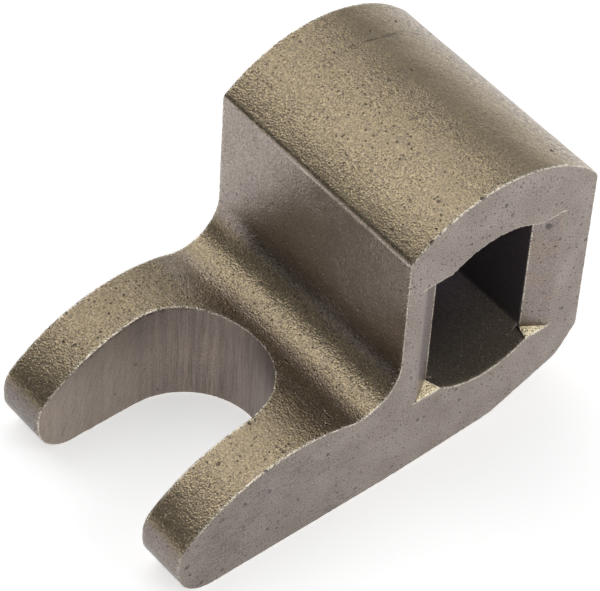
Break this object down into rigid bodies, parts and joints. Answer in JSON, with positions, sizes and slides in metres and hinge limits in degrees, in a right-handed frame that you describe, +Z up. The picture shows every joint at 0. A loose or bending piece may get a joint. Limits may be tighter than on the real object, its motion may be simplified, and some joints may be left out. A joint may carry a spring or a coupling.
{
  "type": "clutch release finger",
  "caption": "Cast steel clutch release finger: a slotted toe that straddles an adjusting stud, and an eye block with a flat-sided pivot window under a domed top.",
  "frame": {"origin": "on the pivot axis at mid width, in the middle of the eye", "axes": "+X from the forked toe towards the heel, +Y along the pivot axis, +Z up through the domed top"},
  "size_m": [0.039, 0.022, 0.0265],
  "materials": {
    "cast_steel": "as-cast skin with ground side faces"
  },
  "bodies": {
    "root": {"release_finger": "cast_steel"}
  },
  "joints": []
}
